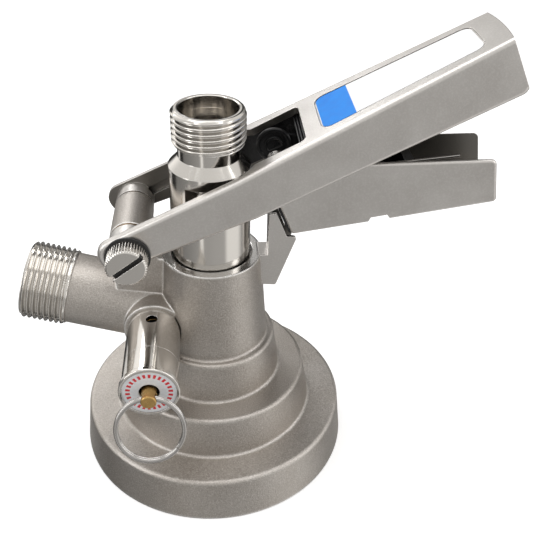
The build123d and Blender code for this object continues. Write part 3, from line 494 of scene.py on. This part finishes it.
def thread_sleeve(name, major, length, bore, place, steps, tail):
    """Closed sleeve with a helical thread. It runs from 0 to length along z, its mouth at length."""
    rows = 16                            # rings of vertices in each pitch
    root = major - THREAD_DEPTH
    count = int(length / PITCH * rows)
    verts = []
    for i in range(count + 1):
        z = length * i / count
        fade = max(0.0, 1 - z / tail)    # run-out at the sleeve's foot
        for j in range(steps):
            phi = turn_of(j, steps)
            phase = ((z / PITCH) - j / steps) % 1.0
            wave = clamp((abs(2 * phase - 1) - ROOT_FLAT) / FLANK)
            wave = ease(wave) * EASED + wave * (1 - EASED)
            r = root + THREAD_DEPTH * wave
            r = min(r, root + THREAD_DEPTH * (1 - FOOT_FALL * fade))
            if z < tail * FOOT_L:
                r = max(r, root + FOOT_RISE * THREAD_DEPTH)
            r = min(r, major - MOUTH_CHAMFER + (length - z))
            verts.append((r * math.cos(phi), r * math.sin(phi), z))
    inner = [
        (major - FACE_RING, length), (bore + BORE_CHAMFER, length), (bore, length - BORE_CHAMFER),
        (bore, length - 2 * BORE_CHAMFER), (bore, length - BORE_L), (root - WALL_IN, length - BORE_L),
        (root - WALL_IN, 0.0)]
    for r, z in inner:
        for j in range(steps):
            phi = turn_of(j, steps)
            verts.append((r * math.cos(phi), r * math.sin(phi), z))
    obj = new_mesh(name, verts, skin(count + 1 + len(inner), steps, closed=True), sharp=50)
    obj.data.transform(place)
    return obj


def copy_of(name, new_name):
    """Free copy of a CAD node, to be worked on."""
    obj = NODES[name].copy()
    obj.data = NODES[name].data.copy()
    obj.name = new_name
    obj.parent = None
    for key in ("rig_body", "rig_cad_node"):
        if key in obj:
            del obj[key]
    bpy.context.scene.collection.objects.link(obj)
    return obj


UNDER_LIP = 0.5                          # CAD pipe's end below the sleeve's


def shrink(obj, to_local, test, radius, top):
    """Moves the vertices that pass test(r, z) in to radius, and down to top at the highest."""
    back = to_local.inverted()
    for v in obj.data.vertices:
        p = back @ v.co
        r = math.hypot(p.x, p.y)
        if test(r / MM, p.z / MM):
            p.x *= radius * MM / r
            p.y *= radius * MM / r
            p.z = min(p.z, top * MM)
            v.co = to_local @ p
    obj.data.update()


# probe with its outlet thread
OUT_FOOT = OUT_TOP - OUT_L
OUT_GAP = 0.4                            # plain neck under the outlet's thread
OUT_CORE_R = 9.6                         # CAD pipe under the sleeve
probe = copy_of("probe", "probe_sleeve")
shrink(probe, Matrix.Identity(4), lambda r, z: r > OUT_BORE + 0.2 and z > OUT_FOOT + 0.2,
       radius=OUT_CORE_R, top=OUT_TOP - UNDER_LIP)
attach(probe, "probe")
dress(probe, "turned_steel")
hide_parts("probe")
outlet = thread_sleeve("outlet_thread", OUT_R, OUT_L - OUT_GAP, OUT_BORE - BORE_FIT,
                       moved(0, 0, OUT_FOOT + OUT_GAP), steps=120, tail=1.2)
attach(outlet, "probe")
dress(outlet, "turned_steel")

# casting with its inlet thread
GAS_FOOT = GAS_END - GAS_THREAD_L
GAS_CORE_R = GAS_R - 1.3
casting = copy_of("body_casting", "casting")
shrink(casting, gas_place(),
       lambda r, z: GAS_R - 0.95 < r < GAS_R + 0.05 and z > GAS_FOOT - 0.05,
       radius=GAS_CORE_R, top=GAS_END - UNDER_LIP)
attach(casting, "body")
dress(casting, "cast_steel")
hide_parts("body_casting")
inlet = thread_sleeve("inlet_thread", GAS_R, GAS_THREAD_L, GAS_BORE - BORE_FIT,
                      gas_place() @ moved(0, 0, GAS_FOOT), steps=140, tail=1.8)
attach(inlet, "body")
dress(inlet, "turned_steel")


# ---------------------------------------------------------------- hinge screw with a knurled head

SEAT_Y, HEAD_L, HEAD_R, NECK_R = -19.8, 6.0, 6.32, 5.85
SHANK_R, SHANK_END = 3.0, 19.0
FLUTES, FLUTE_DEPTH = 44, 0.42
FLUTE = (0.0, 0.15, 0.75, 1.0, 0.75, 0.15)   # depth round one flute
SLOT_HALF, SLOT_DEPTH, SLOT_TURN = 0.8, 2.2, math.radians(-37.0)
front = SEAT_Y - HEAD_L
at_hinge = moved(HINGE[0], 0, HINGE[1])
along_slot = Matrix.Rotation(SLOT_TURN, 4, "Y")

head = lathe_y("hinge_screw", [
    (front, 5.55, 0.0), (front + 0.15, 5.75, 0.0), (front + 0.5, HEAD_R, FLUTE_DEPTH),
    (SEAT_Y - 0.6, HEAD_R, FLUTE_DEPTH), (SEAT_Y - 0.35, NECK_R, 0.0), (SEAT_Y, NECK_R, 0.0),
    (SEAT_Y, SHANK_R, 0.0), (SHANK_END - 0.3, SHANK_R, 0.0), (SHANK_END, SHANK_R - 0.3, 0.0)],
    FLUTES * len(FLUTE), FLUTE)
slot = box_mesh("slot", (-10, front - 1, -SLOT_HALF), (10, front + SLOT_DEPTH, SLOT_HALF))
slot.data.transform(along_slot)
head = carve(head, [slot])
head.data.transform(at_hinge)
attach(head, "handle")
dress(head, "turned_steel")
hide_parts("pivot_screw")

# painted shade: a black block at the floor of the slot stands for the shade in it
SLOT_SHADE_HALF_L, SLOT_SHADE_HALF_W, SLOT_SHADE_FROM = 5.4, 0.78, 1.5
slot_shade_block = box_mesh("screw_slot_shade", (-SLOT_SHADE_HALF_L, front + SLOT_SHADE_FROM, -SLOT_SHADE_HALF_W),
                      (SLOT_SHADE_HALF_L, front + SLOT_DEPTH + 0.05, SLOT_SHADE_HALF_W))
slot_shade_block.data.transform(at_hinge @ along_slot)
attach(slot_shade_block, "handle")
dress(slot_shade_block, "black_plastic")


# ---------------------------------------------------------------- split ring of two turns

RING_R, RING_Y, RING_LEAN = 10.3, -44.7, math.radians(19.5)
RING_HALF_T, RING_HALF_W = 0.46, 0.72    # half the wire's section, along the ring's axis and across
RING_STEP = 1.0                          # from one turn to the other
RING_START, RING_TURNS = math.radians(128.0), 1.984
RING_CROSS_FROM, RING_CROSS_L = 0.45, 0.1
RING_STATIONS = 260

section = []
for degrees in range(0, 360, 30):
    a = math.radians(degrees)
    section.append((RING_HALF_T * math.cos(a), RING_HALF_W * math.sin(a)))
ring_verts = []
for i in range(RING_STATIONS + 1):
    t = i / RING_STATIONS
    phi = RING_START + 2 * math.pi * RING_TURNS * t
    shift = RING_STEP * (ease(clamp((t - RING_CROSS_FROM) / RING_CROSS_L)) - 0.5)
    for thick, wide in section:
        r = RING_R + wide
        ring_verts.append((r * math.sin(phi), shift + thick, -RING_R + r * math.cos(phi)))
ring = new_mesh("split_ring", ring_verts, skin(RING_STATIONS + 1, len(section)), sharp=40)
ring.data.transform(moved(RELIEF_X, RING_Y, RELIEF_Z) @ Matrix.Rotation(-RING_LEAN, 4, "X"))
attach(ring, "relief_ring")
dress(ring, "spring_steel")
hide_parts("relief_ring")


# ---------------------------------------------------------------- black mouldings in the handle's window, with a black sheet of painted shade on its far wall

SHADE_SHEET_T, SHADE_SHEET_SET_IN = 0.4, 3.2       # thickness, and its near face in from the handle's side


def side_at(u):
    """Half width of the handle at u, past its bend."""
    along = (max(u, BEND_U) - BEND_U) / (TIP_U - BEND_U)
    return BEND_HALF_W - (BEND_HALF_W - TIP_HALF_W) * along


# painted shade: black sheet over the far wall's inner face, standing for the shade inside the window
WINDOW_FROM, WINDOW_TO = 38.0, 62.8      # along the handle
shade_sheet = prism("window_shade_sheet", [
    (WINDOW_FROM, -6.0), (WINDOW_TO, -6.0), (WINDOW_TO, 3.9), (WINDOW_FROM, 3.7)], 0, SHADE_SHEET_T)
for v in shade_sheet.data.vertices:
    v.co.y += (side_at(v.co.x / MM) - SHADE_SHEET_SET_IN) * MM
shade_sheet.data.transform(handle_place())
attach(shade_sheet, "handle")
dress(shade_sheet, "black_plastic")

# ribbed strip at the window's end
STRIP_HALF, STRIP_FOOT, RIB_FOOT, RIB_TOP = 13.8, 1.6, 2.4, 3.5
RIBS_AT = (60.0, 60.9, 61.8)
strip_outline = [(RIBS_AT[0], STRIP_FOOT)]
for u in RIBS_AT:
    strip_outline += [(u, RIB_FOOT), (u + 0.15, RIB_TOP), (u + 0.55, RIB_TOP), (u + 0.75, RIB_FOOT)]
strip_outline += [(62.7, RIB_FOOT), (62.7, STRIP_FOOT)]
strip = prism("window_strip", strip_outline, -STRIP_HALF, STRIP_HALF)
strip.data.transform(handle_place())
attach(strip, "handle")
dress(strip, "black_plastic")

# round cheek of the trigger's core
cheek = lathe_y("core_cheek", [
    (7.93, 5.6, 0), (7.2, 5.6, 0), (6.95, 5.3, 0), (6.95, 4.6, 0), (7.2, 4.35, 0)], 72)
cheek.data.transform(pivot_place())
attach(cheek, "trigger")
dress(cheek, "black_plastic")

# D-shaped boss on the cheek
BOSS_R, BOSS_FROM, BOSS_TO, DIP_TO = 2.9, 6.2, 7.3, 6.6
DIP_SIZE, DIP_RISE = 0.76, 0.1
arc = []
for degrees in range(-28, 209, 8):
    arc.append((BOSS_R * math.cos(math.radians(degrees)), BOSS_R * math.sin(math.radians(degrees))))
dip = prism("dip", [(DIP_SIZE * x, DIP_SIZE * z + DIP_RISE) for x, z in arc], BOSS_FROM - 1.2, DIP_TO)
boss = carve(prism("core_boss", arc, BOSS_FROM, BOSS_TO), [dip])
boss.data.transform(pivot_place())
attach(boss, "trigger")
dress(boss, "black_plastic")


# ---------------------------------------------------------------- floor

FLOOR_HALF, FLOOR_DROP, FLOOR_GLOW = 6, 0.0002, 0.45
floor_mesh = bpy.data.meshes.new("floor")
corners = [(-1, -1), (1, -1), (1, 1), (-1, 1)]
floor_mesh.from_pydata([(x * FLOOR_HALF, y * FLOOR_HALF, 0) for x, y in corners], [], [(0, 1, 2, 3)])
floor = bpy.data.objects.new("floor", floor_mesh)
floor.location.z = START_BOX[0].z - FLOOR_DROP
bpy.context.scene.collection.objects.link(floor)
ground = Shader("floor", (0.80, 0.80, 0.80), 0.0, 0.9)
path = ground.add("ShaderNodeLightPath")
ground.set("Emission Color", (1.0, 1.0, 1.0, 1.0))
ground.out("Emission Strength", ground.math("MULTIPLY", path.outputs["Is Camera Ray"], FLOOR_GLOW))
floor.data.materials.append(ground.mat)
floor.visible_glossy = False


# ---------------------------------------------------------------- camera

CAMERA_AT = (0.00016, -0.21099, 0.21528)
CAMERA_RIGHT, CAMERA_UP = (0.9972, -0.0713, 0.0220), (0.0223, 0.5658, 0.8242)
CAMERA_BACK = (-0.0712, -0.8215, 0.5658)
camera = bpy.data.objects.new("camera", bpy.data.cameras.new("camera"))
camera.data.lens = 51.18
camera.data.sensor_width = 36.0
camera.data.clip_start = 0.01
camera.data.clip_end = 50.0
rows = list(zip(CAMERA_RIGHT, CAMERA_UP, CAMERA_BACK, CAMERA_AT))
camera.matrix_world = Matrix((*rows, (0, 0, 0, 1))).normalized()
bpy.context.scene.collection.objects.link(camera)
bpy.context.scene.camera = camera


# ---------------------------------------------------------------- lamps

AIM = (0.0, 0.0, 0.06)


def lamp(name, place, size, power):
    """Area lamp that faces AIM."""
    data = bpy.data.lights.new(name, "AREA")
    data.shape = "RECTANGLE"
    data.size, data.size_y = size
    data.energy = power
    obj = bpy.data.objects.new(name, data)
    obj.location = place
    obj.rotation_euler = (Vector(AIM) - Vector(place)).to_track_quat("-Z", "Y").to_euler()
    bpy.context.scene.collection.objects.link(obj)


lamp("top_box", (0.0, 0.05, 0.9), (0.9, 0.7), 3.0)
lamp("back_box", (-0.257, 0.565, 0.55), (0.2, 0.2), 0.8)
lamp("left_box", (-0.8, -0.35, 0.45), (0.25, 0.8), 2.0)
lamp("right_box", (0.85, -0.25, 0.5), (0.3, 0.8), 1.5)


# ---------------------------------------------------------------- world

# brightness by azimuth in degrees, from 0 in front (-Y) to +-180 behind, below and above the horizon
LOWER = (
    (-180, 0.03), (-146, 0.03), (-143, 0.9), (-133, 0.9), (-130, 0.03), (-112, 0.03), (-104, 0.22),
    (-60, 0.32), (-34, 0.40), (-30, 1.1), (-25, 1.1), (-21, 0.43), (14, 0.48), (38, 0.49), (48, 1.0),
    (84, 1.0), (100, 0.4), (110, 0.03), (124, 0.03), (127, 0.9), (137, 0.9), (140, 0.03), (152, 0.2),
    (180, 0.2))
UPPER = (
    (-180, 0.8), (-167, 0.8), (-164, 0.04), (-155, 0.04), (-152, 1.3), (-138, 1.3), (-120, 0.9),
    (-60, 0.8), (20, 0.85), (100, 0.9), (128, 0.9), (138, 0.3), (153, 0.3), (156, 0.04), (172, 0.04),
    (175, 0.8), (180, 0.8))
AMBIENT = (0.55, 0.545, 0.535, 1.0)
BACKDROP = (1.0, 1.0, 1.0, 1.0)
WARM = (1.0, 0.985, 0.96)
SWITCH_BELOW, SWITCH_RATE = 0.06, 6.0    # LOWER gives way to UPPER from just under the horizon

world = bpy.data.worlds.new("world")
bpy.context.scene.world = world
world.use_nodes = True
tree = world.node_tree


def world_math(operation, a, b):
    node = tree.nodes.new("ShaderNodeMath")
    node.operation = operation
    for socket, value in zip(node.inputs, (a, b)):
        if isinstance(value, (int, float)):
            socket.default_value = value
        else:
            tree.links.new(value, socket)
    return node.outputs[0]


def world_ramp(fac, stops):
    """Slightly warm greys by azimuth; fac is 0 at -180 degrees and 1 at 180."""
    node = tree.nodes.new("ShaderNodeValToRGB")
    while len(node.color_ramp.elements) < len(stops):
        node.color_ramp.elements.new(0.5)
    for element, (degrees, value) in zip(node.color_ramp.elements, stops):
        element.position = (degrees + 180) / 360
        element.color = (*(value * share for share in WARM), 1.0)
    tree.links.new(fac, node.inputs["Fac"])
    return node.outputs["Color"]


def world_mix(fac, a, b):
    node = tree.nodes.new("ShaderNodeMix")
    node.data_type = "RGBA"
    tree.links.new(fac, node.inputs["Factor"])
    for socket, value in ((node.inputs[6], a), (node.inputs[7], b)):
        if isinstance(value, tuple):
            socket.default_value = value
        else:
            tree.links.new(value, socket)
    return node.outputs[2]


rays = tree.nodes.new("ShaderNodeLightPath")
coords = tree.nodes.new("ShaderNodeTexCoord")
axes = tree.nodes.new("ShaderNodeSeparateXYZ")
tree.links.new(coords.outputs["Generated"], axes.inputs["Vector"])
azimuth = world_math("ARCTAN2", axes.outputs["X"], world_math("MULTIPLY", axes.outputs["Y"], -1.0))
turn = world_math("ADD", world_math("DIVIDE", azimuth, 2 * math.pi), 0.5)
rise = world_math("MULTIPLY", world_math("ADD", axes.outputs["Z"], SWITCH_BELOW), SWITCH_RATE)
climb = tree.nodes.new("ShaderNodeClamp")
tree.links.new(rise, climb.inputs["Value"])
mirrored = world_mix(climb.outputs["Result"], world_ramp(turn, LOWER), world_ramp(turn, UPPER))
lit = world_mix(rays.outputs["Is Glossy Ray"], AMBIENT, mirrored)
seen = world_mix(rays.outputs["Is Camera Ray"], lit, BACKDROP)
tree.links.new(seen, tree.nodes["Background"].inputs["Color"])

bpy.context.scene.view_settings.view_transform = "Standard"
